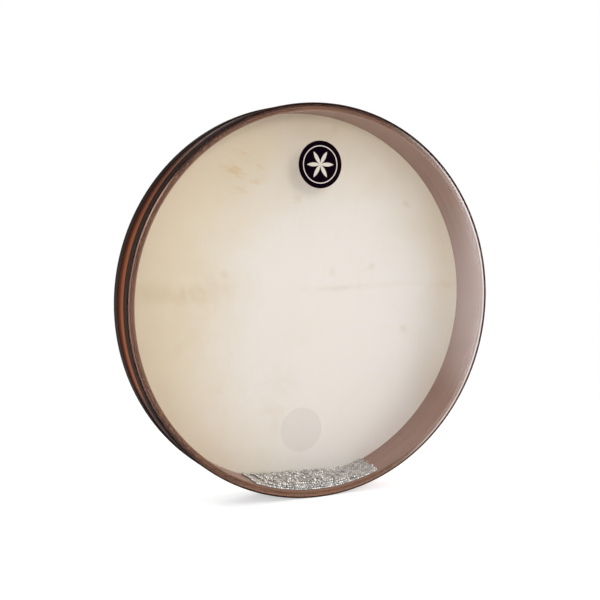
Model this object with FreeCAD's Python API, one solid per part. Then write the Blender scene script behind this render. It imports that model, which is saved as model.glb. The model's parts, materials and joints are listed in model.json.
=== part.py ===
import FreeCAD, Part
import math
import os

# A sea drum: a shallow double-headed frame drum with loose steel balls inside.
# Millimetres. The origin is at the drum's centre and +Y is its axis: the clear
# film head faces -Y and the goatskin head faces +Y. +Z is up as the drum stands
# on its rim, with the balls in a pool at the bottom.

# Driving dimensions
OUTER_DIAMETER = 559.0  # over the black bands
DEPTH = 66.0  # from the film's face to the skin's face
PLY_THICKNESS = 1.9
PLY_COUNT = 5
FILM_THICKNESS = 0.3
SKIN_THICKNESS = 0.9
HEAD_ROUND = 2.6  # outside radius of each head where it turns over the shell's edge
FILM_SKIRT_LENGTH = 12.5  # how far the film head runs down the shell, from its face
SKIN_SKIRT_LENGTH = 15.0  # the same for the skin head
BAND_HEIGHT = 1.5  # how far the bands stand above the bare wood
BAND_LAP = 3.4  # how far each band runs past the skirt that it covers
BAND_EDGE = 0.4  # round on the bands' outer edges
FRONT_BAND_SETBACK = 0.8  # from the film's face back to the front band
BACK_BAND_SETBACK = 2.6  # from the skin's face in to the back band
BADGE_DIAMETER = 66.2
BADGE_FROM_RIM = 85.4  # badge centre in from the rim: at the film's top, at the skin's foot
BADGE_PRINT = 0.15  # depth of each printed badge, flush with its head
BALL_DIAMETER = 3.5
POOL_DEPTH = 12.8  # the ball pool at its deepest, measured from the shell
BALL_CLEARANCE = 0.3  # between the balls and the drum round them
BALL_SPACING = 0.1  # between one loose ball and the next
LEFT_CLIMBING_ROWS = 4  # rows of balls lying up the wall at the pool's -X end
RIGHT_CLIMBING_ROWS = 6  # the same at its +X end
TOP_BALLS = 40  # balls scattered on the pool

SECTORS = 16  # faces round each ring
AXIS = FreeCAD.Vector(0, 1, 0)
CENTRE = FreeCAD.Vector(0, 0, 0)

outer_radius = OUTER_DIAMETER / 2
shell_radius = outer_radius - BAND_HEIGHT
chamber_radius = shell_radius - PLY_COUNT * PLY_THICKNESS
front_face = -DEPTH / 2
back_face = DEPTH / 2
chamber_front = front_face + FILM_THICKNESS
chamber_back = back_face - SKIN_THICKNESS


def point(radius, y):
    """A point of a half section, which lies in the XY plane."""
    return FreeCAD.Vector(radius, y, 0)


def line(start, end):
    return Part.LineSegment(start, end).toShape()


def arc(centre, radius, start_degrees, end_degrees):
    """An arc of a half section, by angle from the outward radial direction."""
    ends = []
    for degrees in (start_degrees, (start_degrees + end_degrees) / 2, end_degrees):
        turn = math.radians(degrees)
        ends.append(centre + point(radius * math.cos(turn), radius * math.sin(turn)))
    return Part.Arc(*ends).toShape()


def revolved(edges):
    """The solid that a closed half section sweeps about the drum's axis.

    Its faces are split into equal sectors, which line up on the two sides of a thin wall.
    """
    sector_degrees = 360 / SECTORS
    sector = Part.Wire(edges).revolve(CENTRE, AXIS, sector_degrees)
    faces = []
    for number in range(SECTORS):
        turned = sector.copy()
        turned.rotate(CENTRE, AXIS, number * sector_degrees)
        faces.extend(turned.Faces)
    shell = Part.makeShell(faces)
    shell.sewShape()
    solid = Part.makeSolid(shell)
    if solid.Volume < 0:
        solid.reverse()
    return solid


def path(*points):
    """Straight edges through the points."""
    return [line(a, b) for a, b in zip(points, points[1:])]


def edge_height(radius, rounding):
    """How far the shell's rounded edge has dropped at this radius."""
    past = radius - (shell_radius - rounding)
    if past <= 0:
        return 0.0
    return rounding - math.sqrt(max(rounding**2 - past**2, 0.0))


def ply_edge(inner, outer, face, inward, rounding):
    """The edges across a ply's end, in order from its inner radius to its outer one."""
    start = point(inner, face + inward * edge_height(inner, rounding))
    end = point(outer, face + inward * edge_height(outer, rounding))
    bend = shell_radius - rounding
    if outer <= bend:
        return [line(start, end)], start, end
    edges = []
    begin = max(inner, bend)
    middle = (begin + outer) / 2
    if inner < bend:
        edges.append(line(start, point(bend, face)))
    curve = [point(r, face + inward * edge_height(r, rounding)) for r in (begin, middle, outer)]
    edges.append(Part.Arc(*curve).toShape())
    return edges, start, end


def shell_ply(number):
    """One bent ply of the laminated shell, 1 being the innermost."""
    inner = chamber_radius + (number - 1) * PLY_THICKNESS
    outer = inner + PLY_THICKNESS
    front, front_in, front_out = ply_edge(
        inner, outer, chamber_front, 1, HEAD_ROUND - FILM_THICKNESS
    )
    back, back_in, back_out = ply_edge(inner, outer, chamber_back, -1, HEAD_ROUND - SKIN_THICKNESS)
    return revolved(front + [line(front_out, back_out)] + back[::-1] + [line(back_in, front_in)])


def turn_radius(thickness):
    """Where a head's flat face ends and its turn over the shell's edge begins."""
    return shell_radius + thickness - HEAD_ROUND


def head_face(face, inward, thickness):
    """The flat, playing part of a head, out to where it turns over the shell's edge."""
    return Part.makeCylinder(turn_radius(thickness), thickness, point(0, face), AXIS * inward)


def head_skirt(face, inward, thickness, length):
    """The rest of the same head: its turn over the shell's edge and its skirt."""
    skirt_radius = shell_radius + thickness
    turn = point(turn_radius(thickness), face + inward * HEAD_ROUND)
    skirt_end = face + inward * length
    return revolved(
        [arc(turn, HEAD_ROUND, -90 * inward, 0)]
        + path(
            point(skirt_radius, turn.y),
            point(skirt_radius, skirt_end),
            point(shell_radius, skirt_end),
            point(shell_radius, turn.y),
        )
        + [arc(turn, HEAD_ROUND - thickness, 0, -90 * inward)]
        + path(point(turn.x, face + inward * thickness), point(turn.x, face))
    )


def band(face, inward, thickness, setback, skirt_length):
    """The black band glued over a head's skirt, and past it on to the wood."""
    skirt_radius = shell_radius + thickness
    start = face + inward * setback
    step = face + inward * skirt_length
    end = step + inward * BAND_LAP
    rounding = min(BAND_EDGE, (outer_radius - skirt_radius) / 2)
    ridge = outer_radius - rounding
    start_turn = point(ridge, start + inward * rounding)
    end_turn = point(ridge, end - inward * rounding)
    return revolved(
        path(point(skirt_radius, start), point(ridge, start))
        + [arc(start_turn, rounding, -90 * inward, 0)]
        + path(point(outer_radius, start_turn.y), point(outer_radius, end_turn.y))
        + [arc(end_turn, rounding, 0, 90 * inward)]
        + path(
            point(ridge, end),
            point(shell_radius, end),
            point(shell_radius, step),
            point(skirt_radius, step),
            point(skirt_radius, start),
        )
    )


def badge(face, inward, height):
    """A round print let into a head's face, with its centre at this height."""
    foot = FreeCAD.Vector(0, face, height)
    return Part.makeCylinder(BADGE_DIAMETER / 2, BADGE_PRINT, foot, AXIS * inward)


def ball_pool():
    """The settled balls, as one closed segment that fills the drum's depth."""
    radius = chamber_radius - BALL_CLEARANCE
    level = POOL_DEPTH - chamber_radius
    half_width = math.sqrt(radius**2 - level**2)
    y = chamber_front + BALL_CLEARANCE
    left = FreeCAD.Vector(-half_width, y, level)
    right = FreeCAD.Vector(half_width, y, level)
    lowest = FreeCAD.Vector(0, y, -radius)
    outline = Part.Wire([Part.Arc(left, lowest, right).toShape(), line(right, left)])
    length = chamber_back - BALL_CLEARANCE - y
    return Part.Face(outline).extrude(AXIS * length)


def climbing_balls():
    """Rows of balls across the drum's depth, up the wall at both ends of the pool."""
    ball_radius = BALL_DIAMETER / 2
    track = chamber_radius - BALL_CLEARANCE - ball_radius
    first_height = POOL_DEPTH - chamber_radius + ball_radius + BALL_SPACING
    first_turn = math.acos(-first_height / track)
    pitch = BALL_DIAMETER + BALL_SPACING
    turn_step = 2 * math.asin(pitch / 2 / track)
    room = chamber_back - chamber_front - 2 * BALL_CLEARANCE - BALL_DIAMETER
    gaps = int(room / pitch)
    middle = (chamber_front + chamber_back) / 2
    places = []
    for side, rows in ((-1, LEFT_CLIMBING_ROWS), (1, RIGHT_CLIMBING_ROWS)):
        for row in range(rows):
            turn = first_turn + row * turn_step
            for number in range(gaps + 1):
                y = middle + (number - gaps / 2) * pitch
                x = side * track * math.sin(turn)
                places.append(FreeCAD.Vector(x, y, -track * math.cos(turn)))
    return places


def top_balls():
    """Balls spread evenly but irregularly over the pool's level top."""
    ball_radius = BALL_DIAMETER / 2
    level = POOL_DEPTH - chamber_radius
    edge = math.sqrt((chamber_radius - BALL_CLEARANCE) ** 2 - level**2)
    reach = edge - 3 * BALL_DIAMETER
    room = (chamber_back - chamber_front) / 2 - BALL_CLEARANCE - BALL_DIAMETER
    middle = (chamber_front + chamber_back) / 2
    plastic = 1.32471795724474602596  # root of x^3 = x + 1, which spreads points in a plane
    places = []
    for number in range(TOP_BALLS):
        across = (0.5 + number / plastic) % 1
        along = (0.5 + number / plastic**2) % 1
        x = reach * (2 * across - 1)
        y = middle + room * (2 * along - 1)
        places.append(FreeCAD.Vector(x, y, level + ball_radius + BALL_SPACING))
    return places


def loose_balls():
    """The balls that show one by one, on the pool and beside it."""
    return Part.makeCompound(
        [Part.makeSphere(BALL_DIAMETER / 2, place) for place in climbing_balls() + top_balls()]
    )


badge_height = outer_radius - BADGE_FROM_RIM
front_badge = badge(front_face, 1, badge_height)
back_badge = badge(back_face, -1, -badge_height)

nodes = {
    "film_head": head_face(front_face, 1, FILM_THICKNESS).cut(front_badge),
    "film_skirt": head_skirt(front_face, 1, FILM_THICKNESS, FILM_SKIRT_LENGTH),
    "skin_head": head_face(back_face, -1, SKIN_THICKNESS).cut(back_badge),
    "skin_skirt": head_skirt(back_face, -1, SKIN_THICKNESS, SKIN_SKIRT_LENGTH),
    "front_band": band(front_face, 1, FILM_THICKNESS, FRONT_BAND_SETBACK, FILM_SKIRT_LENGTH),
    "back_band": band(back_face, -1, SKIN_THICKNESS, BACK_BAND_SETBACK, SKIN_SKIRT_LENGTH),
    "front_badge": front_badge,
    "back_badge": back_badge,
    "ball_pool": ball_pool(),
    "loose_balls": loose_balls(),
}
for ply_number in range(1, PLY_COUNT + 1):
    nodes[f"shell_ply_{ply_number}"] = shell_ply(ply_number)

os.makedirs("parts", exist_ok=True)
for name, shape in nodes.items():
    shape.exportStep(f"parts/{name}.step")
    print(f"{name}: {len(shape.Solids)} solids, {shape.Volume / 1000:.2f} cm3, valid {shape.isValid()}")
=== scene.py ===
"""The looks of a sea drum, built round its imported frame.

The drum stands on its rim with its axis along Y. The clear film head faces -Y, the goatskin head
faces +Y, and a pool of steel balls lies at the bottom between them. Lengths are in metres.
"""

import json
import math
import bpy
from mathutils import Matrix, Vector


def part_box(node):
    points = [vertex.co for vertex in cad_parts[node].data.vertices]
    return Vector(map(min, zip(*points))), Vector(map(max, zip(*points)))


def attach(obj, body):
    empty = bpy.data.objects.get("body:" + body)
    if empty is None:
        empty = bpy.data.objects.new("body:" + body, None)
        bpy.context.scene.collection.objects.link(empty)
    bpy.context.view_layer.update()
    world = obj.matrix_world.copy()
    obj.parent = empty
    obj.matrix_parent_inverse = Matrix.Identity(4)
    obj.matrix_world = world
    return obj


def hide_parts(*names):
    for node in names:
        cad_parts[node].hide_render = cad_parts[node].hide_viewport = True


bl_info = {
    "name": "Sea Drum",
    "version": (1, 0, 0),
    "blender": (4, 5, 0),
    "location": "3D View > Sidebar > Sea Drum",
    "description": "Builds the visible pieces of a two-headed drum with loose steel balls",
    "category": "Object",
}

import bpy
import numpy as np
from mathutils import Vector

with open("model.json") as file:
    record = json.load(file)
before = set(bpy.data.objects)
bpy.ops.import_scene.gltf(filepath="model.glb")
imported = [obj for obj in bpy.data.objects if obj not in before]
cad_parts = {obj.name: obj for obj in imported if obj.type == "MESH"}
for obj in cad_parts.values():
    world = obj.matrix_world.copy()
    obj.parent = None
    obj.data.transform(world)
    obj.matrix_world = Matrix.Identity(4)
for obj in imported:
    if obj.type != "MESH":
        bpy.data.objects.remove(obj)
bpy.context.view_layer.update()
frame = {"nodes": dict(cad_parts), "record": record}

MM = 0.001
AXIS = (0, 1, 0)
SEGMENTS = 256  # faces round each wooden ring and band
SKIN_SEGMENTS = 512  # the skin's pleats need more
TURN_PARTS = 7  # faces round each head's turn over the shell's edge
FACE_RINGS = 48  # rings of faces across each head
PLY_END_PARTS = 8  # faces across each ply's ends
PLY_SIDE_PARTS = 10  # faces along each ply's sides


def low(node):
    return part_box(node)[0]


def high(node):
    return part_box(node)[1]


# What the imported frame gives
PLIES = sorted(name for name in frame["nodes"] if name.startswith("shell_ply_"))
OUTER_RADIUS = high("front_band").x
SHELL_RADIUS = high(PLIES[-1]).x
PLY_THICKNESS = high(PLIES[1]).x - high(PLIES[0]).x
CHAMBER_RADIUS = SHELL_RADIUS - PLY_THICKNESS * len(PLIES)
FRONT_FACE = low("film_head").y
BACK_FACE = high("skin_head").y
CHAMBER_FRONT = high("film_head").y
CHAMBER_BACK = low("skin_head").y
HEAD_ROUND = high("film_skirt").x - high("film_head").x
FLOOR_HEIGHT = low("front_band").z
POOL_DEPTH = high("ball_pool").z - low("ball_pool").z
POOL_LEFT = low("loose_balls").x
POOL_RIGHT = high("loose_balls").x


def size_property(name, description, default):
    return bpy.props.FloatProperty(name=name, description=description, default=default, unit="LENGTH")


def colour_property(name, description, default):
    return bpy.props.FloatVectorProperty(
        name=name, description=description, default=default, subtype="COLOR_GAMMA", min=0, max=1
    )


class DrumSizes(bpy.types.PropertyGroup):
    """Small sizes of the finished surfaces, which the frame doesn't hold."""

    ball_diameter: size_property("Ball diameter", "Across one steel ball", 3.5 * MM)
    heap_width: size_property("Heap width", "Across the balls that lie more than one deep", 150 * MM)
    film_dip: size_property("Film dip", "How far the film lies in from its rim", 0.12 * MM)
    film_relief: size_property("Film relief", "Height of the film's faint waves", 0.03 * MM)
    skin_dip: size_property("Skin dip", "How far the skin lies in from its rim", 0.25 * MM)
    skin_relief: size_property("Skin relief", "Height of the skin's unevenness", 0.08 * MM)
    pleat_depth: size_property("Pleat depth", "Depth of the skin's pleats at its turn", 0.3 * MM)
    band_joint: size_property("Band joint", "Gap between a band's two ends", 0.4 * MM)


class DrumColours(bpy.types.PropertyGroup):
    """Colours as they look on a screen."""

    wood_light: colour_property("Wood, light", "The shell's outside between the bands", (0.74, 0.405, 0.22))
    wood_dark: colour_property("Wood, dark", "Grain lines in the shell's outer face", (0.585, 0.295, 0.145))
    wood_burst: colour_property("Wood, stained", "The shell beside the bands", (0.36, 0.185, 0.11))
    # The rim's turned edge in painted shade, where it is high up on the drum.
    wood_rim_shade: colour_property("Wood, rim", "The outer ply's edge under the film", (0.215, 0.11, 0.09))
    inner_light: colour_property("Inner wood, light", "The wall round the balls", (0.61, 0.447, 0.375))
    inner_dark: colour_property("Inner wood, dark", "Grain lines in that wall", (0.53, 0.372, 0.305))
    edge_light: colour_property("Ply edge, light", "The shell's edge, under the film", (0.57, 0.4, 0.3))
    edge_dark: colour_property("Ply edge, dark", "Grain lines in that edge", (0.52, 0.355, 0.262))
    skin_pale: colour_property("Skin, pale", "The skin where it is whitest", (0.9, 0.875, 0.848))
    skin_warm: colour_property("Skin, warm", "The skin where it is yellowest", (0.86, 0.805, 0.69))
    skin_ochre: colour_property("Skin, ochre", "Smudges in the skin", (0.78, 0.68, 0.52))
    skin_vein: colour_property("Skin, vein", "Fine lines in the skin", (0.76, 0.7, 0.6))
    skin_stain: colour_property("Skin, stain", "The brown stain in the skin", (0.83, 0.68, 0.45))
    band: colour_property("Band", "The bands round the rim", (0.25, 0.195, 0.175))
    badge: colour_property("Badge", "The badges' ground", (0.045, 0.008, 0.042))
    badge_line: colour_property("Badge lines", "The rings printed on the badges", (0.86, 0.82, 0.77))
    steel: colour_property("Steel", "The balls", (0.78, 0.772, 0.758))
    # film and film_warm also colour the painted highlights in the film.
    film: colour_property("Film", "The film's faint haze", (0.95, 0.88, 0.855))
    film_warm: colour_property("Film, warm", "The haze where wood shows through it", (0.95, 0.757, 0.665))
    floor: colour_property("Floor", "The floor and the far background", (0.93, 0.93, 0.93))


def linear(colour):
    """The shader's colour, with alpha, for a colour as it looks on a screen."""
    values = [c / 12.92 if c <= 0.04045 else ((c + 0.055) / 1.055) ** 2.4 for c in colour]
    return (*values, 1.0)


def shaded(colour, share):
    """The shader's colour for a darker or lighter tone of a colour."""
    return linear(Vector(colour) * share)


# Node trees


def node(kind, inputs=(), tree=None, **settings):
    """A new node with its settings made and its inputs set or linked, by name or number.

    It goes into the tree of an output that is linked to it, so only a first node needs a tree.
    """
    inputs = dict(inputs)
    linked = [key for key, value in inputs.items() if isinstance(value, bpy.types.NodeSocket)]
    tree = tree or inputs[linked[0]].id_data
    made = tree.nodes.new("ShaderNode" + kind)
    for name, value in settings.items():
        setattr(made, name, value)
    for key, value in inputs.items():
        if key in linked:
            tree.links.new(value, made.inputs[key])
        else:
            made.inputs[key].default_value = value
    return made


def math_of(operation, first, second=0.0):
    return node("Math", {0: first, 1: second}, operation=operation).outputs[0]


def times(*values):
    """The product of all the values."""
    product = values[0]
    for value in values[1:]:
        product = math_of("MULTIPLY", product, value)
    return product


def plus(first, second):
    return math_of("ADD", first, second)


def minus(first, second):
    return math_of("SUBTRACT", first, second)


def larger(first, second):
    return math_of("MAXIMUM", first, second)


def size_of(value):
    return math_of("ABSOLUTE", value)


def noise(vector, scale, detail=4.0, roughness=0.55, distortion=0.0):
    inputs = {
        "Vector": vector,
        "Scale": scale,
        "Detail": detail,
        "Roughness": roughness,
        "Distortion": distortion,
    }
    return node("TexNoise", inputs).outputs["Fac"]


def smooth(value, start, end):
    """0 up to start and 1 past end, with a smooth rise between. start may be the larger."""
    inputs = {"Value": value, "From Min": start, "From Max": end}
    return node("MapRange", inputs, interpolation_type="SMOOTHSTEP").outputs[0]


def scaled(value, start, end, to_start, to_end):
    inputs = {"Value": value, "From Min": start, "From Max": end, "To Min": to_start, "To Max": to_end}
    return node("MapRange", inputs).outputs[0]


def spread(texture, start, end):
    """A noise, which hardly leaves 0.3 to 0.7, spread between start and end."""
    return scaled(texture, 0.3, 0.7, start, end)


def mix(factor, first, second, blend="MIX"):
    """One colour blended into another."""
    made = node("Mix", {0: factor, 6: first, 7: second}, data_type="RGBA", blend_type=blend)
    return made.outputs[2]


def toned(colour, tone):
    """A colour multiplied by a tone that varies over the surface."""
    grey = node("CombineColor", {0: tone, 1: tone, 2: tone}).outputs[0]
    return mix(1.0, linear(colour), grey, "MULTIPLY")


def bump(height, distance, strength):
    inputs = {"Height": height, "Distance": distance, "Strength": strength}
    return node("Bump", inputs).outputs[0]


def object_place(tree):
    return node("TexCoord", tree=tree).outputs["Object"]


def axes(vector):
    """A vector's outputs X, Y and Z."""
    return node("SeparateXYZ", {0: vector}).outputs


def stretched(vector, *scale):
    return node("Mapping", {"Vector": vector, "Scale": scale}).outputs[0]


def from_centre(position, centre):
    """Distance from a point in the plane of the heads, with depth left out."""
    flat = node("VectorMath", {0: position, 1: (1, 0, 1)}, operation="MULTIPLY").outputs[0]
    gap = node("VectorMath", {0: flat, 1: (centre[0], 0, centre[1])}, operation="DISTANCE")
    return gap.outputs["Value"]


def new_material(name):
    """An empty material with one Principled shader. Returns the material, its tree and the shader."""
    material = bpy.data.materials.new(name)
    material.use_nodes = True
    tree = material.node_tree
    return material, tree, tree.nodes["Principled BSDF"]


def link(output, shader, name):
    output.id_data.links.new(output, shader.inputs[name])


def show(surface):
    """Makes a shader the material's surface."""
    link(surface, surface.id_data.nodes["Material Output"], "Surface")


def fix(shader, values):
    """Sets values that are the same all over the surface."""
    for name, value in values.items():
        shader.inputs[name].default_value = value


# Materials


def painted_shade_high_up(tree):
    """Where the rim's edge gets painted shade: 0 at the drum's foot, rising to 1 below its middle, a little
    sooner on the left.
    """
    along = axes(object_place(tree))
    height = minus(along["Z"], times(along["X"], 0.25))
    return smooth(height, -SHELL_RADIUS, -0.35 * SHELL_RADIUS)


def painted_shade_low_left(tree):
    """1 low on the drum's left side, where its outside gets painted shade, and 0 elsewhere."""
    along = axes(object_place(tree))
    down = smooth(along["Z"], -0.36 * SHELL_RADIUS, -0.49 * SHELL_RADIUS)
    return times(down, smooth(along["X"], 0.1 * SHELL_RADIUS, -0.2 * SHELL_RADIUS))


def wood(name, light, dark, colouring, pore_tone=0.28):
    """Wood whose grain runs round the ring, by the piece's own grain attribute."""
    material, tree, shader = new_material(name)
    grain = node("Attribute", tree=tree, attribute_name="grain").outputs["Vector"]
    figure = noise(stretched(grain, 2.2, 55, 55), 1.0, 5.0, 0.6, 0.8)
    lines = noise(stretched(grain, 7, 900, 900), 1.0, 4.0, 0.65)
    pores = noise(stretched(grain, 70, 2600, 2600), 1.0, 2.0, 0.5)
    pore = smooth(pores, 0.64, 0.74)
    tone = plus(times(figure, 0.62), times(lines, 0.5))
    base = mix(smooth(tone, 0.36, 0.74), linear(dark), linear(light))
    base = mix(times(pore, pore_tone), base, shaded(dark, 0.55))
    height = minus(times(lines, 0.35), pore)
    link(bump(height, 0.05 * MM, 0.5), shader, "Normal")
    # Besides stain, edge colour and glue lines, the colouring paints shade on the outer and core plies.
    link(colouring(tree, grain, base), shader, "Base Color")
    link(spread(lines, 0.34, 0.5), shader, "Roughness")
    return material, shader


def outer_wood(colours):
    """The stained and lacquered outer ply, darkest beside the bands, with painted shade on its turned edge
    high up and on its outside low on the left.
    """
    front, back = high("front_band").y, low("back_band").y

    # Stain beside the bands, painted shade low on the left, and the turned edge in painted shade high up.
    def burst_and_painted_shade(tree, grain, base):
        across = axes(grain)["Y"]
        uneven = noise(stretched(grain, 9, 60, 0), 1.0, 3.0)
        place = plus(across, spread(uneven, -1.2 * MM, 1.2 * MM))
        beside_front = times(smooth(place, front + 5.0 * MM, front), 0.5)
        beside_back = smooth(place, back - 17.5 * MM, back - 8.5 * MM)
        beside = larger(beside_front, beside_back)
        grained = mix(1.0, base, linear((0.66, 0.5, 0.48)), "MULTIPLY")
        shade = mix(0.7, grained, linear(colours.wood_burst))
        stain_and_painted_shade = mix(beside, base, shade)
        # Painted shade low on the drum's left side.
        low_left_shade = shaded(colours.wood_burst, 0.45)
        stain_and_painted_shade = mix(times(painted_shade_low_left(tree), 0.85), stain_and_painted_shade, low_left_shade)
        rim = smooth(across, CHAMBER_FRONT + 3.0 * MM, CHAMBER_FRONT + 2.0 * MM)
        # The turned edge is lighter at the foot and in painted shade higher up.
        rim_shaded_colour = mix(painted_shade_high_up(tree), linear(colours.edge_light), linear(colours.wood_rim_shade))
        return mix(rim, stain_and_painted_shade, rim_shaded_colour)

    material, shader = wood("lacquered_wood", colours.wood_light, colours.wood_dark, burst_and_painted_shade)
    fix(shader, {"Specular IOR Level": 0.01, "Coat Weight": 0.012, "Coat Roughness": 0.3})
    return material


def inner_wood(colours):
    """The plain wood of the wall round the balls."""

    def front_edge(tree, grain, base):
        across = axes(grain)["Y"]
        edge = smooth(across, CHAMBER_FRONT + 0.3 * MM, CHAMBER_FRONT + 0.05 * MM)
        return mix(edge, base, shaded(colours.edge_dark, 0.94))

    material, shader = wood("inner_wood", colours.inner_light, colours.inner_dark, front_edge)
    fix(shader, {"Specular IOR Level": 0.4})
    return material


def core_wood(colours, tone):
    """A core ply, which shows only at the shell's edges, with dark glue lines at its sides and painted
    shade on its outer part high up.
    """
    light = Vector(colours.edge_light) * tone
    dark = Vector(colours.edge_dark) * tone

    # Dark glue lines, and painted shade on the ply's outer part high up.
    def glue_and_painted_shade(tree, grain, base):
        radius = axes(grain)["Z"]
        depth = minus(radius, CHAMBER_RADIUS)
        within = math_of("FLOORED_MODULO", depth, PLY_THICKNESS)
        from_joint = math_of("MINIMUM", within, minus(PLY_THICKNESS, within))
        line = smooth(from_joint, 0.16 * MM, 0.04 * MM)
        # The outer part of the ply is in painted shade high up.
        shade_start = SHELL_RADIUS - 2.7 * PLY_THICKNESS
        outside = smooth(radius, shade_start, shade_start + PLY_THICKNESS)
        stain_and_painted_shade = times(outside, painted_shade_high_up(tree), 0.92)
        return mix(stain_and_painted_shade, mix(line, base, shaded(dark, 0.6)), linear(colours.wood_rim_shade))

    material, shader = wood(f"core_wood_{round(tone * 100)}", light, dark, glue_and_painted_shade, 0.1)
    fix(shader, {"Specular IOR Level": 0.03})
    return material


def skin_spine(place, mottle, base, colours):
    """The line of the hide's spine: broad and ochre on the left, fine and faint on the right."""
    along = axes(place)
    wander = noise(stretched(place, 1, 0, 0), 9.0, 3.0)
    height = minus(along["Z"], spread(wander, -4 * MM, 4 * MM))
    from_spine = size_of(minus(height, 15 * MM))
    on_left = smooth(along["X"], -60 * MM, -190 * MM)
    broad = times(smooth(from_spine, 22 * MM, 4 * MM), on_left)
    broad = times(broad, scaled(mottle, 0.35, 0.65, 0.1, 0.45))
    base = mix(broad, base, linear(colours.skin_ochre))
    on_right = smooth(along["X"], -60 * MM, 40 * MM)
    fine = times(smooth(from_spine, 7 * MM, 1 * MM), on_right)
    fine = times(fine, scaled(mottle, 0.35, 0.65, 0.0, 0.22))
    return mix(fine, base, linear(colours.skin_vein))


def skin_spots(place, base, colours):
    """A brown stain, streaked along a slope, high on the left, and a few small ragged spots."""
    along = axes(place)
    sloped = node("Mapping", {"Vector": place, "Rotation": (0, -0.33, 0)}).outputs[0]
    streaks = noise(stretched(sloped, 24, 1, 60), 1.0, 5.0, 0.7)
    near = smooth(from_centre(place, (-92 * MM, 184 * MM)), 46 * MM, 10 * MM)
    colouring = times(near, smooth(streaks, 0.49, 0.62), 0.6)
    base = mix(colouring, base, linear(colours.skin_stain))
    flat = node("CombineXYZ", {0: along["X"], 1: along["Z"]}).outputs[0]
    inputs = {"Vector": flat, "Scale": 17.0}
    cells = node("TexVoronoi", inputs, voronoi_dimensions="2D").outputs
    own = node("SeparateColor", {0: cells["Color"]}).outputs[0]
    ragged = plus(cells["Distance"], spread(streaks, -0.09, 0.09))
    spot = times(smooth(ragged, 0.16, 0.02), smooth(own, 0.7, 0.95), 0.26)
    return mix(spot, base, linear(colours.skin_ochre))


def skin_material(colours, badge_centre, badge_radius):
    """Goatskin: pale and mottled, warmer towards the rim, with faint veins and pores, and painted shade
    where the wood and the back badge lie behind it.
    """
    material, tree, shader = new_material("goatskin")
    place = object_place(tree)
    flat = stretched(place, 1, 0.25, 1)
    clouds = noise(flat, 7.0, 5.0, 0.55, 0.6)
    mottle = noise(flat, 34.0, 6.0, 0.62, 0.4)
    blotch = noise(stretched(place, 1.0, 0.2, 1.4), 4.3, 3.0, 0.5, 1.2)
    fibre = noise(flat, 420.0, 4.0, 0.7)
    pores = node("TexVoronoi", {"Vector": flat, "Scale": 620.0}).outputs["Distance"]
    pale, warm, ochre = (linear(c) for c in (colours.skin_pale, colours.skin_warm, colours.skin_ochre))

    # Warmer away from a pale spot a little low and right of the middle.
    low_middle = (0.22 * CHAMBER_RADIUS, -0.2 * CHAMBER_RADIUS)
    from_palest = from_centre(stretched(place, 1, 1, 0.78), low_middle)
    outer_warmth = smooth(from_palest, CHAMBER_RADIUS * 0.3, CHAMBER_RADIUS * 1.2)
    uneven = plus(times(clouds, 0.7), times(mottle, 0.3))
    warmth = plus(times(uneven, 0.55), times(outer_warmth, 0.62))
    base = mix(smooth(warmth, 0.3, 0.88), pale, warm)
    smudge = times(smooth(blotch, 0.56, 0.74), smooth(mottle, 0.38, 0.6), 0.16)
    base = mix(smudge, base, ochre)
    base = skin_spine(place, mottle, base, colours)
    base = skin_spots(place, base, colours)
    warped = noise(stretched(place, 1.0, 0.2, 0.55), 11.0, 3.0, 0.6, 2.2)
    vein = smooth(size_of(minus(warped, 0.5)), 0.016, 0.0)
    base = mix(times(vein, 0.06), base, linear(colours.skin_vein))
    base = mix(spread(fibre, 0.0, 0.16), base, warm)

    radius = from_centre(place, (0, 0))
    # Painted shade where the wood behind the skin keeps light from showing through it.
    wood_shade_through_skin = smooth(radius, CHAMBER_RADIUS - 1.5 * MM, CHAMBER_RADIUS + 1.0 * MM)
    base = mix(times(wood_shade_through_skin, 0.35), base, ochre)
    # Painted shade of the back badge, as it shows through the skin.
    from_badge = from_centre(place, badge_centre)
    behind = smooth(from_badge, badge_radius + 0.8 * MM, badge_radius - 0.8 * MM)
    base = mix(times(behind, 0.16), base, linear((0.62, 0.6, 0.56)))
    link(base, shader, "Base Color")

    height = plus(times(mottle, 0.6), times(fibre, 0.25))
    height = minus(height, times(smooth(pores, 0.28, 0.1), 0.12))
    height = plus(height, times(vein, 0.35))
    link(bump(height, 0.16 * MM, 0.45), shader, "Normal")
    link(spread(mottle, 0.5, 0.66), shader, "Roughness")
    return material


def crease_highlight_strength(place):
    """How bright the painted highlight along the film's crease is: most on the right, less on the left and
    faint at the foot.
    """
    along = axes(place)
    x, z = along["X"], along["Z"]

    def between(value, start, end):
        return smooth(value, start * SHELL_RADIUS, end * SHELL_RADIUS)

    right = times(between(x, 0.3, 0.8), 0.72)
    bright = times(between(z, 0.25, 0.5), 0.22)
    left = plus(times(between(z, -0.75, -0.1), 0.22), bright)
    left = times(left, between(z, 0.68, 0.55), between(x, -0.5, -0.7))
    foot = times(between(z, -0.8, -0.95), 0.13)
    return larger(larger(right, left), foot)


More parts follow.
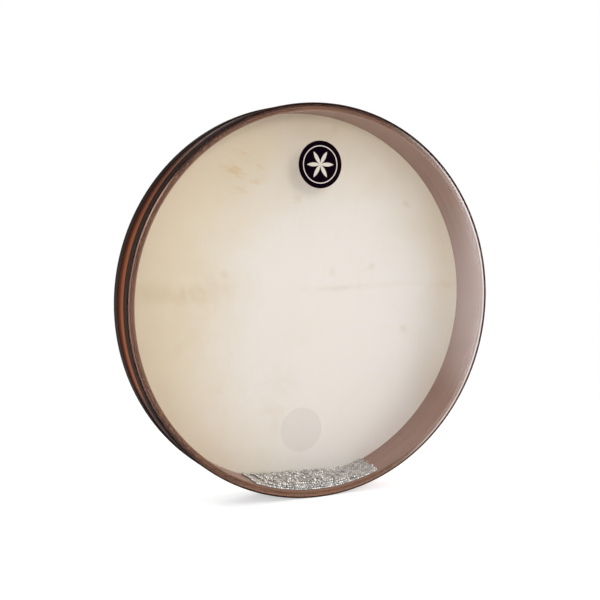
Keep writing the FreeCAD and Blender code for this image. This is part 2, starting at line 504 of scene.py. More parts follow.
def film_painted_highlights(place, across):
    """Painted highlights in the film: a line along its crease, and a milky sheen where it lies on the wood
    on the right.
    """
    radius = from_centre(place, (0, 0))
    fold = high("film_head").x
    line = scaled(across, -SHELL_RADIUS, SHELL_RADIUS, fold + 0.1 * MM, fold - 1.35 * MM)
    from_line = size_of(minus(radius, line))
    # A painted highlight along the crease, and a painted sheen on the right.
    crease_highlight = times(smooth(from_line, 1.4 * MM, 0.5 * MM), crease_highlight_strength(place))
    right_rim_highlight = times(smooth(radius, CHAMBER_RADIUS - 1.5 * MM, CHAMBER_RADIUS + 3 * MM), 0.26)
    right_rim_highlight = times(right_rim_highlight, smooth(radius, fold + 0.2 * MM, fold - 0.4 * MM))
    right_rim_highlight = times(right_rim_highlight, smooth(across, 0.3 * SHELL_RADIUS, 0.9 * SHELL_RADIUS))
    return larger(crease_highlight, right_rim_highlight)


def film_material(colours):
    """Clear film: see-through, with a faint haze, painted highlights in that haze, and a mirror that grows
    towards glancing angles.
    """
    material, tree, mirror = new_material("clear_film")
    place = object_place(tree)
    across = axes(place)["X"]
    smears = noise(place, 9.0, 4.0, 0.6, 1.0)
    # A faint haze, with the painted highlights added to it.
    haze_and_highlight = plus(spread(smears, 0.004, 0.012), film_painted_highlights(place, across))
    facing = node("LayerWeight", {"Blend": 0.5}, tree).outputs["Facing"]
    head_on, glancing = 0.018, 0.4
    mirrored = scaled(math_of("POWER", facing, 5.0), 0.0, 1.0, head_on, glancing)
    fix(mirror, {"Base Color": (1, 1, 1, 1), "Metallic": 1.0})
    link(spread(smears, 0.14, 0.22), mirror, "Roughness")
    # The haze and its painted highlights are warm on the left and paler on the right.
    to_right = smooth(across, 0.0, 0.5 * SHELL_RADIUS)
    tint = mix(to_right, linear(colours.film_warm), linear(colours.film))
    haze = node("BsdfPrincipled", {"Base Color": tint, "Roughness": 0.7})
    fix(haze, {"Specular IOR Level": 0.0})
    clear = node("BsdfTransparent", tree=tree).outputs[0]
    body = node("MixShader", {0: haze_and_highlight, 1: clear, 2: haze.outputs[0]}).outputs[0]
    show(node("MixShader", {0: mirrored, 1: body, 2: mirror.outputs[0]}).outputs[0])
    return material


def band_material(colours):
    """Black band: a fine pebbled grain, rubbed lighter in places, with painted shade low on the left."""
    material, tree, shader = new_material("black_band")
    grain = node("Attribute", tree=tree, attribute_name="grain").outputs["Vector"]
    inputs = {"Vector": grain, "Scale": 1300.0}
    pebble = node("TexVoronoi", inputs, feature="SMOOTH_F1").outputs["Distance"]
    cloud = noise(grain, 45.0, 5.0, 0.6)
    scuff = noise(stretched(grain, 35, 260, 260), 1.0, 4.0, 0.7)
    base = toned(colours.band, spread(cloud, 0.82, 1.16))
    rub = times(smooth(scuff, 0.58, 0.78), 0.3)
    base = mix(rub, base, shaded(colours.band, 1.7))
    # Painted shade low on the drum's left side.
    base = mix(times(painted_shade_low_left(tree), 0.75), base, shaded(colours.band, 0.5))
    link(base, shader, "Base Color")
    link(bump(pebble, 0.12 * MM, 0.35), shader, "Normal")
    link(spread(cloud, 0.62, 0.78), shader, "Roughness")
    fix(shader, {"Specular IOR Level": 0.02})
    return material


def rosette_print(place, centre, radius):
    """1 on a six-petalled rosette, which is six arcs of its own radius, and on a ring round it."""
    middle = (centre[0], 0, centre[1])
    offset = node("VectorMath", {0: place, 1: middle}, operation="SUBTRACT").outputs[0]
    along = axes(offset)
    gap = from_centre(place, centre)
    turn = math_of("ARCTAN2", along["X"], along["Z"])
    sixth = math.pi / 3
    folded = minus(math_of("FLOORED_MODULO", turn, sixth), sixth / 2)
    outward = times(gap, math_of("COSINE", folded))
    aside = size_of(times(gap, math_of("SINE", folded)))
    rosette = 0.62 * radius
    u = minus(outward, rosette / 2)
    v = plus(aside, rosette * math.sin(sixth))
    reach = math_of("SQRT", plus(times(u, u), times(v, v)))
    soft = 0.12 * MM
    petals = smooth(reach, rosette + soft, rosette - soft)
    from_ring = size_of(minus(gap, 0.78 * radius))
    half_line = 0.7 * MM
    return larger(petals, smooth(from_ring, half_line + soft, half_line - soft))


def badge_material(colours, name, centre, radius):
    """A badge's print: a dark disc with a plain six-petalled rosette in a thin ring."""
    material, tree, shader = new_material(name)
    place = object_place(tree)
    speck = noise(place, 900.0, 3.0, 0.6)
    ground = mix(spread(speck, 0.0, 0.3), linear(colours.badge), shaded(colours.badge, 1.5))
    printed = rosette_print(place, centre, radius)
    worn = times(printed, spread(speck, 0.9, 1.0))
    link(mix(worn, ground, linear(colours.badge_line)), shader, "Base Color")
    link(spread(speck, 0.4, 0.52), shader, "Roughness")
    link(bump(speck, 0.02 * MM, 0.3), shader, "Normal")
    fix(shader, {"Specular IOR Level": 0.005})
    return material


def steel_material(colours):
    """Polished steel shot, each ball a little lighter, darker or duller than the next."""
    material, tree, shader = new_material("steel_shot")
    own = node("Attribute", tree=tree, attribute_name="ball_tone").outputs["Fac"]
    base = toned(colours.steel, scaled(own, 0.0, 1.0, 0.62, 1.4))
    tarnish = noise(object_place(tree), 700.0, 3.0, 0.6)
    tarnish = times(smooth(tarnish, 0.5, 0.75), 0.3)
    base = mix(tarnish, base, linear((0.42, 0.4, 0.38)))
    link(base, shader, "Base Color")
    fix(shader, {"Metallic": 1.0})
    link(scaled(own, 0.0, 1.0, 0.13, 0.22), shader, "Roughness")
    return material


# Shapes


def clear_selection():
    bpy.ops.object.select_all(action="DESELECT")
    bpy.context.view_layer.objects.active = None


def run(start, end, parts):
    """Points along a straight stretch of a section, without its end."""
    step = ((end[0] - start[0]) / parts, (end[1] - start[1]) / parts)
    return [(start[0] + i * step[0], start[1] + i * step[1]) for i in range(parts)]


def bend(centre, radius, start_degrees, end_degrees, parts):
    """Points round an arc of a section, without its end."""
    points = []
    for i in range(parts):
        turn = math.radians(start_degrees + (end_degrees - start_degrees) * i / parts)
        points.append((centre[0] + radius * math.cos(turn), centre[1] + radius * math.sin(turn)))
    return points


def turned(name, section, segments=SEGMENTS, start=0.0, sweep=2 * math.pi):
    """A piece turned about the drum's axis from a closed section of (radius, y) points."""
    clear_selection()
    bpy.ops.mesh.primitive_circle_add(vertices=len(section), fill_type="NOTHING")
    piece = bpy.context.object
    piece.name = piece.data.name = name
    for vertex, (radius, y) in zip(piece.data.vertices, section):
        vertex.co = (radius * math.sin(start), y, radius * math.cos(start))
    bpy.ops.object.mode_set(mode="EDIT")
    bpy.ops.mesh.select_all(action="SELECT")
    bpy.ops.mesh.spin(steps=segments, angle=sweep, center=(0, 0, 0), axis=AXIS)
    bpy.ops.mesh.select_all(action="SELECT")
    bpy.ops.mesh.remove_doubles(threshold=0.001 * MM)
    if sweep < 2 * math.pi:
        bpy.ops.mesh.fill_holes(sides=0)
    bpy.ops.mesh.delete_loose(use_verts=True, use_edges=True, use_faces=False)
    bpy.ops.mesh.select_all(action="SELECT")
    bpy.ops.mesh.normals_make_consistent(inside=False)
    bpy.ops.object.mode_set(mode="OBJECT")
    return piece


def shade(piece, degrees=35):
    clear_selection()
    piece.select_set(True)
    bpy.context.view_layer.objects.active = piece
    bpy.ops.object.shade_smooth_by_angle(angle=math.radians(degrees))


def places_of(piece):
    """The piece's vertices as an array."""
    places = np.empty(len(piece.data.vertices) * 3)
    piece.data.vertices.foreach_get("co", places)
    return places.reshape(-1, 3)


def put_places(piece, places):
    piece.data.vertices.foreach_set("co", places.ravel())
    piece.data.update()


def waves(x, z, wavelength, seed, count=28):
    """Smooth, even unevenness over a plane, mostly between -1 and 1."""
    random = np.random.default_rng(seed)
    total = np.zeros_like(x)
    for _ in range(count):
        heading = random.uniform(0, 2 * math.pi)
        number = 2 * math.pi / (wavelength * random.uniform(0.6, 1.8))
        phase = random.uniform(0, 2 * math.pi)
        total += np.cos(number * (x * math.cos(heading) + z * math.sin(heading)) + phase)
    return total / math.sqrt(count)


def rise(value, start, end):
    part = np.clip((value - start) / (end - start), 0, 1)
    return part * part * (3 - 2 * part)


def add_grain(piece, seam):
    """Gives each corner its length round the ring from the seam, its y and its radius."""
    mesh = piece.data
    places = places_of(piece)
    corners = np.empty(len(mesh.loops), dtype=np.int32)
    mesh.loops.foreach_get("vertex_index", corners)
    sizes = np.empty(len(mesh.polygons), dtype=np.int32)
    mesh.polygons.foreach_get("loop_total", sizes)
    centres = np.empty(len(mesh.polygons) * 3)
    mesh.polygons.foreach_get("center", centres)
    centres = np.repeat(centres.reshape(-1, 3), sizes, axis=0)
    at = places[corners]
    face_turn = (np.arctan2(centres[:, 0], centres[:, 2]) - seam) % (2 * math.pi)
    turn = np.arctan2(at[:, 0], at[:, 2]) - seam
    turn = face_turn + (turn - face_turn + math.pi) % (2 * math.pi) - math.pi
    values = np.stack([turn * SHELL_RADIUS, at[:, 1], np.hypot(at[:, 0], at[:, 2])], axis=1)
    layer = mesh.attributes.new("grain", "FLOAT_VECTOR", "CORNER")
    layer.data.foreach_set("vector", values.ravel().astype(np.float32))


def finish(piece, body, material, slot, *nodes):
    """Gives a piece its material, puts it on the body it rides on and hides the frame's parts that it
    stands for.
    """
    piece.data.materials.clear()
    piece.data.materials.append(material)
    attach(piece, body)
    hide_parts(*nodes)


def disc_of(node_name):
    """A badge's centre in the plane of the heads, as (x, z), and its radius."""
    lowest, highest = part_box(node_name)
    middle = (lowest + highest) / 2
    return (middle.x, middle.z), (highest.x - lowest.x) / 2


def slot_of(node_name):
    """The record's material slot of a node."""
    return next(s["material_slot"] for s in frame["record"]["subparts"] if s["node"] == node_name)


def edge_drop(radius, rounding):
    """How far the shell's rounded edge has dropped at this radius."""
    past = radius - (SHELL_RADIUS - rounding)
    if past <= 0:
        return 0.0
    return rounding - math.sqrt(max(rounding**2 - past**2, 0.0))


def ply_section(inner, outer):
    """A ply's section: two long sides, and ends that follow the shell's rounded edges."""
    front_round = HEAD_ROUND - (CHAMBER_FRONT - FRONT_FACE)
    back_round = HEAD_ROUND - (BACK_FACE - CHAMBER_BACK)
    steps = [inner + (outer - inner) * i / PLY_END_PARTS for i in range(PLY_END_PARTS + 1)]
    front = [(r, CHAMBER_FRONT + edge_drop(r, front_round)) for r in steps]
    back = [(r, CHAMBER_BACK - edge_drop(r, back_round)) for r in reversed(steps)]
    outside = run(front[-1], back[0], PLY_SIDE_PARTS)
    inside = run(back[-1], front[0], PLY_SIDE_PARTS)
    return front[:-1] + outside + back[:-1] + inside


def head_section(face, inward, thickness, skirt_end):
    """A whole head's section, from its middle out over the shell's edge and back underneath."""
    skirt_radius = SHELL_RADIUS + thickness
    centre = (skirt_radius - HEAD_ROUND, face + inward * HEAD_ROUND)
    under = face + inward * thickness
    skirt_parts = 3
    return (
        run((0, face), (centre[0], face), FACE_RINGS)
        + bend(centre, HEAD_ROUND, -90 * inward, 0, TURN_PARTS)
        + run((skirt_radius, centre[1]), (skirt_radius, skirt_end), skirt_parts)
        + run((skirt_radius, skirt_end), (SHELL_RADIUS, skirt_end), 1)
        + run((SHELL_RADIUS, skirt_end), (SHELL_RADIUS, centre[1]), skirt_parts)
        + bend(centre, HEAD_ROUND - thickness, 0, -90 * inward, TURN_PARTS)
        + run((centre[0], under), (0, under), FACE_RINGS)
        + [(0, under)]
    )


def band_section(start, step, end, skirt_radius, edge):
    """A band's section: thin over the skirt and thicker past it, with round outer corners."""
    inward = 1 if end > start else -1
    ridge = OUTER_RADIUS - edge
    corner_parts, face_parts = 4, 12
    first, last = (ridge, start + inward * edge), (ridge, end - inward * edge)
    return (
        run((skirt_radius, start), (ridge, start), 1)
        + bend(first, edge, -90 * inward, 0, corner_parts)
        + run((OUTER_RADIUS, first[1]), (OUTER_RADIUS, last[1]), face_parts)
        + bend(last, edge, 0, 90 * inward, corner_parts)
        + [(ridge, end), (SHELL_RADIUS, end), (SHELL_RADIUS, step), (skirt_radius, step)]
    )


# Balls


def close_pairs(places, reach):
    """Pairs of balls whose centres are nearer than reach, found by a grid of cells."""
    cells = np.floor(places / reach).astype(np.int64)
    cells -= cells.min(0) - 1
    size = cells.max(0) + 2
    keys = (cells[:, 0] * size[1] + cells[:, 1]) * size[2] + cells[:, 2]
    order = np.argsort(keys, kind="stable")
    ordered = keys[order]
    everyone = np.arange(len(places))
    firsts, seconds = [], []
    for dx in (-1, 0, 1):
        for dy in (-1, 0, 1):
            for dz in (-1, 0, 1):
                shift = (dx * size[1] + dy) * size[2] + dz
                if shift < 0:
                    continue
                begin = np.searchsorted(ordered, keys + shift, "left")
                count = np.searchsorted(ordered, keys + shift, "right") - begin
                first = np.repeat(everyone, count)
                nth = np.arange(count.sum()) - np.repeat(np.cumsum(count) - count, count)
                second = order[np.repeat(begin, count) + nth]
                keep = first < second if shift == 0 else slice(None)
                firsts.append(first[keep])
                seconds.append(second[keep])
    first, second = np.concatenate(firsts), np.concatenate(seconds)
    near = ((places[first] - places[second]) ** 2).sum(1) < reach**2
    return first[near], second[near]


def along_wall(turn, y, radius):
    """Places at a radius and y, by turn from the bottom towards +X."""
    turn, y = np.broadcast_arrays(turn, y)
    return np.stack([radius * np.sin(turn), y, -radius * np.cos(turn)], axis=1)


def wall_balls(diameter, track, near_front, near_back, random):
    """The lowest layer: rows of balls round the wall, as regular as a honeycomb, with uneven ends."""
    pitch = 1.004 * diameter / track  # a hair over one ball, as a turn
    honeycomb = math.sin(math.radians(60))  # from row to row, in balls
    rows = int((near_back - near_front) / (diameter * honeycomb))
    left = math.asin((POOL_LEFT - diameter) / track)
    right = math.asin((POOL_RIGHT - diameter / 2) / track)
    places = []
    for row in range(rows + 1):
        first = (random.integers(0, 2) + 0.5 * (row % 2)) * pitch
        last = random.integers(0, 2) * pitch
        turns = np.arange(left + first, right - last, pitch)
        places.append(along_wall(turns, near_front + row * (near_back - near_front) / rows, track))
    return np.concatenate(places)


def heaped_balls(diameter, track, near_front, near_back, width, random):
    """Loose, jostled layers of balls over the wall layer, deepest a little to the left."""
    middle = (POOL_LEFT + 2 * diameter + width / 2) / track
    half = 0.5 * width / track
    step = diameter * 1.07
    layer_gap = 0.9  # the lengths here and below are in balls
    layer_rise, lowest_layer = 0.86, 0.35
    uneven, jostle = 0.5, 0.3
    places = []
    for layer in range(1, int(POOL_DEPTH / diameter) + 3):
        radius = track - layer * layer_gap * diameter
        turns = np.arange(middle - half, middle + half, step / radius)
        for row, y in enumerate(np.arange(near_front, near_back, step * 0.88)):
            turn = turns + 0.5 * ((row + layer) % 2) * step / radius
            room = (POOL_DEPTH - 0.5 * diameter) * (1 - ((turn - middle) / half) ** 2)
            room += random.uniform(-uneven, uneven, len(turn)) * diameter
            turn = turn[room > (layer - lowest_layer) * layer_rise * diameter]
            places.append(along_wall(turn, y, radius))
    places = np.concatenate(places)
    return places + random.uniform(-jostle, jostle, places.shape) * diameter


def settled_balls(resting, loose, diameter, track, near_front, near_back, rounds=110):
    """Presses the loose balls towards the wall, and apart from each other and the resting ones."""
    places = np.concatenate([resting, loose])
    count = len(places)
    free = np.arange(count) >= len(resting)
    strongest = 0.02 * diameter  # the first round's press, which fades to none
    pressed_rounds = 0.75 * rounds
    pushes = 5  # in each round
    ease = 0.9  # the share of each overlap that one push takes away
    tiny = 1e-9  # keeps a division by zero away
    for number in range(rounds):
        press = strongest * max(0.0, 1 - number / pressed_rounds)
        places[free] *= 1 + np.array([press, 0, press]) / track
        if number % 3 == 0:
            first, second = close_pairs(places, diameter * 1.25)
            keep = free[first] | free[second]
            first, second = first[keep], second[keep]
            first_share = np.where(free[first], np.where(free[second], 0.5, 1.0), 0.0)
        for _ in range(pushes):
            apart = places[first] - places[second]
            gap = np.sqrt((apart**2).sum(1))
            hit = gap < diameter
            a, b, share = first[hit], second[hit], first_share[hit][:, None]
            push = apart[hit] * ((diameter - gap[hit]) / np.maximum(gap[hit], tiny))[:, None]
            hits = np.bincount(a, minlength=count) + np.bincount(b, minlength=count)
            for axis in range(3):
                ahead = np.bincount(a, (push * share)[:, axis], count)
                behind = np.bincount(b, (push * (1 - share))[:, axis], count)
                places[:, axis] += ease * (ahead - behind) / np.sqrt(np.maximum(hits, 1))
            places[free, 1] = np.clip(places[free, 1], near_front, near_back)
            inside = np.minimum(track / np.maximum(np.hypot(places[:, 0], places[:, 2]), tiny), 1)
            places[:, 0] *= inside
            places[:, 2] *= inside
    return places


def ball_pieces(places, diameter, tones, pieces):
    """Makes pieces that hold a like number of balls each, all copies of one modelled ball."""
    clear_selection()
    bpy.ops.mesh.primitive_ico_sphere_add(subdivisions=2, radius=diameter / 2)
    pattern = bpy.context.object
    corners = places_of(pattern)
    faces = np.array([face.vertices[:] for face in pattern.data.polygons])
    bpy.data.meshes.remove(pattern.data)
    made = []
    order = np.argsort(places[:, 0])
    for number, members in enumerate(np.array_split(order, pieces)):
        vertices = (places[members][:, None] + corners).reshape(-1, 3)
        shift = np.arange(len(members)) * len(corners)
        triangles = (faces + shift[:, None, None]).reshape(-1, 3)
        mesh = bpy.data.meshes.new(f"steel_balls_{number + 1}")
        mesh.from_pydata(vertices.tolist(), [], triangles.tolist())
        mesh.shade_smooth()
        layer = mesh.attributes.new("ball_tone", "FLOAT", "POINT")
        layer.data.foreach_set("value", np.repeat(tones[members], len(corners)).astype(np.float32))
        piece = bpy.data.objects.new(mesh.name, mesh)
        bpy.context.collection.objects.link(piece)
        made.append(piece)
    return made


# Operators


class SEADRUM_OT_stage(bpy.types.Operator):
    """Makes the floor, the lights, the world and the camera."""

    bl_idname = "seadrum.stage"
    bl_label = "Stage"

    def execute(self, context):
        make_camera(context)
        make_floor(context.scene.seadrum_colours)
        make_world(context.scene)
        make_lights()
        make_flag()
        context.scene.view_settings.view_transform = "Standard"
        return {"FINISHED"}


def heading(azimuth, elevation):
    """The direction from the drum to a place round it. Azimuth 0 is straight in front of the film."""
    a, e = math.radians(azimuth), math.radians(elevation)
    return Vector((math.sin(a) * math.cos(e), -math.cos(a) * math.cos(e), math.sin(e)))


def aimed(thing, place):
    thing.location = place
    thing.rotation_mode = "QUATERNION"
    thing.rotation_quaternion = (-place).to_track_quat("-Z", "Y")


def make_camera(context):
    data = bpy.data.cameras.new("camera")
    data.lens = 64.51
    data.shift_x = -0.01716
    data.shift_y = 0.00189
    azimuth, elevation, distance = -25.0, 5.51, 1.546
    camera = bpy.data.objects.new("camera", data)
    context.collection.objects.link(camera)
    aimed(camera, heading(azimuth, elevation) * distance)
    context.scene.camera = camera


def shown_rays(tree):
    """1 where the camera, a mirror or glass looks at a surface, and 0 where it lights others."""
    rays = node("LightPath", tree=tree).outputs
    seen = larger(rays["Is Camera Ray"], rays["Is Glossy Ray"])
    return larger(seen, rays["Is Transmission Ray"])


def glowing(tree, kind, strength):
    """A plain white light, as a surface or a world gives it."""
    return node(kind, {"Color": (1, 1, 1, 1), "Strength": strength}, tree).outputs[0]


def make_floor(colours):
    """A pale floor that is plain white where it is far from the drum and its shadow."""
    clear_selection()
    bpy.ops.mesh.primitive_plane_add(size=60, location=(0, 0, FLOOR_HEIGHT))
    floor = bpy.context.object
    floor.name = floor.data.name = "floor"
    bpy.ops.object.transform_apply(location=True, rotation=False, scale=False)
    material, tree, shader = new_material("pale_floor")
    fix(shader, {"Base Color": linear(colours.floor), "Specular IOR Level": 0.1})
    place = object_place(tree)
    link(spread(noise(place, 2.0, 2.0), 0.78, 0.84), shader, "Roughness")
    glow = glowing(tree, "Emission", times(shown_rays(tree), 0.5))
    near = node("AddShader", {0: shader.outputs[0], 1: glow}).outputs[0]
    away = node("VectorMath", {0: place}, operation="LENGTH").outputs["Value"]
    far = times(smooth(away, 0.45, 1.1), shown_rays(tree))
    white = glowing(tree, "Emission", 1.0)
    show(node("MixShader", {0: far, 1: near, 2: white}).outputs[0])
    floor.data.materials.append(material)


def make_world(scene):
    world = bpy.data.worlds.new("world")
    world.use_nodes = True
    tree = world.node_tree
    tree.nodes.clear()
    lit = glowing(tree, "Background", 0.8)
    white = glowing(tree, "Background", 1.0)
    both = node("MixShader", {0: shown_rays(tree), 1: lit, 2: white}).outputs[0]
    node("OutputWorld", {"Surface": both})
    scene.world = world


def make_lights():
    """Soft lamps, and a tall panel beside the rim that shows only where the drum is glossy."""
    for name, azimuth, elevation, distance, width, height, power in (
        ("key", -12.7, 12.4, 2.6, 0.5, 0.5, 14.0),
        ("side", 64.0, 14.0, 2.4, 1.2, 1.2, 19.0),
        ("panel", 49.0, -2.7, 0.96, 0.16, 0.62, 3.3),
        ("back", 165.0, 35.0, 2.6, 1.4, 1.4, 12.0),
    ):
        data = bpy.data.lights.new(name, "AREA")
        data.shape = "RECTANGLE"
        data.size = width
        data.size_y = height
        data.energy = power
        lamp = bpy.data.objects.new(name, data)
        bpy.context.collection.objects.link(lamp)
        lamp.visible_diffuse = name != "panel"
        aimed(lamp, heading(azimuth, elevation) * distance)


def make_flag():
    """An arched card over the drum that keeps the light from above off its rim."""
    radius, front, back, parts = 0.5, -0.25, 0.45, 20
    left, sweep = -62, 100  # degrees, from straight above
    turns = [math.radians(left + sweep * i / parts) for i in range(parts + 1)]
    arch = [(radius * math.sin(turn), radius * math.cos(turn)) for turn in turns]
    corners = [(x, y, z) for x, z in arch for y in (front, back)]
    faces = [(2 * i, 2 * i + 1, 2 * i + 3, 2 * i + 2) for i in range(parts)]
    mesh = bpy.data.meshes.new("flag")
    mesh.from_pydata(corners, [], faces)
    material, tree, shader = new_material("black_card")
    fix(shader, {"Base Color": (0, 0, 0, 1), "Specular IOR Level": 0.0})
    mesh.materials.append(material)
    flag = bpy.data.objects.new("flag", mesh)
    bpy.context.collection.objects.link(flag)
    flag.visible_camera = flag.visible_transmission = False


class SEADRUM_OT_shell(bpy.types.Operator):
    """Makes the shell's bent plies."""

    bl_idname = "seadrum.shell"
    bl_label = "Shell plies"

    def execute(self, context):
        colours = context.scene.seadrum_colours
        for number, name in enumerate(PLIES):
            inner = CHAMBER_RADIUS + number * PLY_THICKNESS
            piece = turned(f"ply_{number + 1}", ply_section(inner, inner + PLY_THICKNESS))
            add_grain(piece, seam=2.2 + 0.5 * number)
            shade(piece)
            if number == len(PLIES) - 1:
                material = outer_wood(colours)
            elif number == 0:
                material = inner_wood(colours)
            else:
                material = core_wood(colours, 1.0 - 0.12 * (number % 2))
            finish(piece, "drum", material, slot_of(name), name)
        return {"FINISHED"}


class SEADRUM_OT_bands(bpy.types.Operator):
    """Makes the two black bands round the rim."""

    bl_idname = "seadrum.bands"
    bl_label = "Bands"

    def execute(self, context):
        sizes = context.scene.seadrum_sizes
        material = band_material(context.scene.seadrum_colours)
        front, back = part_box("front_band"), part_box("back_band")
        joint = sizes.band_joint / OUTER_RADIUS
        seam = 2.0  # where the two ends meet, in radians round from the top
        for name, start, end, skirt in (
            ("front_band", front[0].y, front[1].y, "film_skirt"),
            ("back_band", back[1].y, back[0].y, "skin_skirt"),
        ):
            skirt_radius = high(skirt).x
            step = high(skirt).y if end > start else low(skirt).y
            edge = min(0.4 * MM, (OUTER_RADIUS - skirt_radius) / 2)
            section = band_section(start, step, end, skirt_radius, edge)
            piece = turned(f"{name}_strip", section, start=seam, sweep=2 * math.pi - joint)
            places = places_of(piece)
            turn = np.arctan2(places[:, 0], places[:, 2])
            inner_edge = np.abs(places[:, 1] - start) > abs(end - start) * 0.6
            unevenness = 0.12 * MM
            wander = np.sin(5 * turn + start * 900) + np.sin(11 * turn) + 0.6 * np.sin(23 * turn + 1)
            places[:, 1] += np.where(inner_edge, unevenness * wander, 0)
            put_places(piece, places)
            add_grain(piece, seam)
            shade(piece)
            finish(piece, "drum", material, slot_of(name), name)
        return {"FINISHED"}


def sag(places, dip, relief, wavelength, seed, inward):
    """Draws a head's free face a little inwards, with a faint unevenness."""
    radius = np.hypot(places[:, 0], places[:, 2])
    free = 1 - rise(radius, CHAMBER_RADIUS - 25 * MM, CHAMBER_RADIUS - 0.5 * MM)
    uneven = relief * np.clip(waves(places[:, 0], places[:, 2], wavelength, seed), -1, 1)
    places[:, 1] += inward * free * (dip + uneven)


class SEADRUM_OT_skin(bpy.types.Operator):
    """Makes the goatskin head."""

    bl_idname = "seadrum.skin"
    bl_label = "Skin head"

    def execute(self, context):
        sizes = context.scene.seadrum_sizes
        thickness = BACK_FACE - CHAMBER_BACK
        section = head_section(BACK_FACE, -1, thickness, low("skin_skirt").y)
        piece = turned("goatskin_head", section, SKIN_SEGMENTS)
        places = places_of(piece)
        sag(places, sizes.skin_dip, sizes.skin_relief, 45 * MM, 11, -1)
        pleat(places, sizes.pleat_depth)
        put_places(piece, places)
        shade(piece, 50)
        material = skin_material(context.scene.seadrum_colours, *disc_of("back_badge"))
        finish(piece, "drum", material, slot_of("skin_head"), "skin_head", "skin_skirt")
        return {"FINISHED"}


def pleat(places, depth):
    """Small uneven pleats where the skin turns over the shell's edge."""
    radius = np.hypot(places[:, 0], places[:, 2])
    turn = np.arctan2(places[:, 0], places[:, 2])
    random = np.random.default_rng(5)
    folds = np.zeros_like(turn)
    count, fewest, most = 40, 25, 125  # waves that are added up, and pleats round the ring
    for _ in range(count):
        number = random.integers(fewest, most)
        folds += np.cos(number * turn + random.uniform(0, 2 * math.pi))
    folds = np.clip(folds / math.sqrt(count), -1.2, 1.2)
    outside = places[:, 1] > BACK_FACE - HEAD_ROUND * 1.4
    near_turn = rise(radius, SHELL_RADIUS - 7 * MM, SHELL_RADIUS - 1.5 * MM) * outside
    inwards = depth * near_turn * (0.5 + 0.4 * folds) * 0.6
    places[:, 1] -= inwards
    shrink = 1 - inwards / np.maximum(radius, MM)
    places[:, 0] *= shrink
    places[:, 2] *= shrink


class SEADRUM_OT_film(bpy.types.Operator):
    """Makes the clear film head."""

    bl_idname = "seadrum.film"
    bl_label = "Film head"

    def execute(self, context):
        sizes = context.scene.seadrum_sizes
        thickness = CHAMBER_FRONT - FRONT_FACE
        section = head_section(FRONT_FACE, 1, thickness, high("film_skirt").y)
        piece = turned("clear_film_head", section)
        places = places_of(piece)
        sag(places, sizes.film_dip, sizes.film_relief, 120 * MM, 3, 1)
        put_places(piece, places)
        shade(piece, 50)
        material = film_material(context.scene.seadrum_colours)
        finish(piece, "drum", material, slot_of("film_head"), "film_head", "film_skirt")
        return {"FINISHED"}


class SEADRUM_OT_badges(bpy.types.Operator):
    """Makes the round printed badges, one on each head."""

    bl_idname = "seadrum.badges"
    bl_label = "Badges"

    def execute(self, context):
        sizes = context.scene.seadrum_sizes
        colours = context.scene.seadrum_colours
        for name, inward, dip in (
            ("front_badge", 1, sizes.film_dip + sizes.film_relief),
            ("back_badge", -1, sizes.skin_dip + sizes.skin_relief),
        ):
            centre, radius = disc_of(name)
            face = low(name).y if inward > 0 else high(name).y
            edge = 0.03 * MM
            depth = dip + edge
            clear_selection()
            bpy.ops.mesh.primitive_cylinder_add(
                vertices=128,
                radius=radius,
                depth=depth,
                location=(centre[0], face + inward * depth / 2, centre[1]),
                rotation=(math.pi / 2, 0, 0),
            )
            piece = bpy.context.object
            piece.name = piece.data.name = f"{name}_disc"
            bpy.ops.object.transform_apply(location=True, rotation=True, scale=True)
            bpy.ops.object.mode_set(mode="EDIT")
            bpy.ops.mesh.select_all(action="SELECT")
            bpy.ops.mesh.bevel(offset=edge, segments=2, affect="EDGES")
            bpy.ops.object.mode_set(mode="OBJECT")
            shade(piece)
            material = badge_material(colours, f"{name}_print", centre, radius)
            finish(piece, "drum", material, slot_of(name), name)
        return {"FINISHED"}


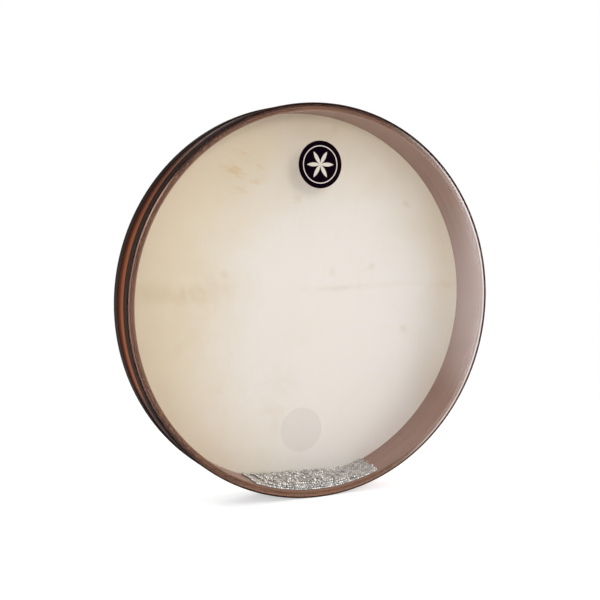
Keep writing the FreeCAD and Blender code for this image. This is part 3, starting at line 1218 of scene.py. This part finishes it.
class SEADRUM_OT_balls(bpy.types.Operator):
    """Settles the steel balls and makes them."""

    bl_idname = "seadrum.balls"
    bl_label = "Steel balls"

    def execute(self, context):
        sizes = context.scene.seadrum_sizes
        diameter = sizes.ball_diameter
        spare = 0.05 * MM
        track = CHAMBER_RADIUS - spare - diameter / 2
        near_front = CHAMBER_FRONT + sizes.film_dip + sizes.film_relief + spare + diameter / 2
        near_back = CHAMBER_BACK - sizes.skin_dip - sizes.skin_relief - spare - diameter / 2
        room = (diameter, track, near_front, near_back)
        random = np.random.default_rng(21)
        resting = wall_balls(*room, random)
        loose = heaped_balls(*room, sizes.heap_width, random)
        places = settled_balls(resting, loose, *room)
        tones = random.random(len(places))
        material = steel_material(context.scene.seadrum_colours)
        for piece in ball_pieces(places, diameter, tones, 3):
            finish(piece, "balls", material, slot_of("ball_pool"), "ball_pool", "loose_balls")
        return {"FINISHED"}


STEPS = (
    SEADRUM_OT_stage,
    SEADRUM_OT_shell,
    SEADRUM_OT_bands,
    SEADRUM_OT_skin,
    SEADRUM_OT_film,
    SEADRUM_OT_badges,
    SEADRUM_OT_balls,
)


class SEADRUM_PT_panel(bpy.types.Panel):
    """Lists the drum's steps, sizes and colours."""

    bl_idname = "SEADRUM_PT_panel"
    bl_label = "Sea Drum"
    bl_space_type = "VIEW_3D"
    bl_region_type = "UI"
    bl_category = "Sea Drum"

    def draw(self, context):
        for step in STEPS:
            self.layout.operator(step.bl_idname)
        for settings in (context.scene.seadrum_sizes, context.scene.seadrum_colours):
            box = self.layout.box()
            for name in settings.__annotations__:
                box.prop(settings, name)


CLASSES = (DrumSizes, DrumColours, *STEPS, SEADRUM_PT_panel)


def register():
    for cls in CLASSES:
        bpy.utils.register_class(cls)
    bpy.types.Scene.seadrum_sizes = bpy.props.PointerProperty(type=DrumSizes)
    bpy.types.Scene.seadrum_colours = bpy.props.PointerProperty(type=DrumColours)


def unregister():
    del bpy.types.Scene.seadrum_colours
    del bpy.types.Scene.seadrum_sizes
    for cls in reversed(CLASSES):
        bpy.utils.unregister_class(cls)


def main():
    register()
    bpy.ops.seadrum.stage()
    bpy.ops.seadrum.shell()
    bpy.ops.seadrum.bands()
    bpy.ops.seadrum.skin()
    bpy.ops.seadrum.film()
    bpy.ops.seadrum.badges()
    bpy.ops.seadrum.balls()


if __name__ == "__main__":
    main()
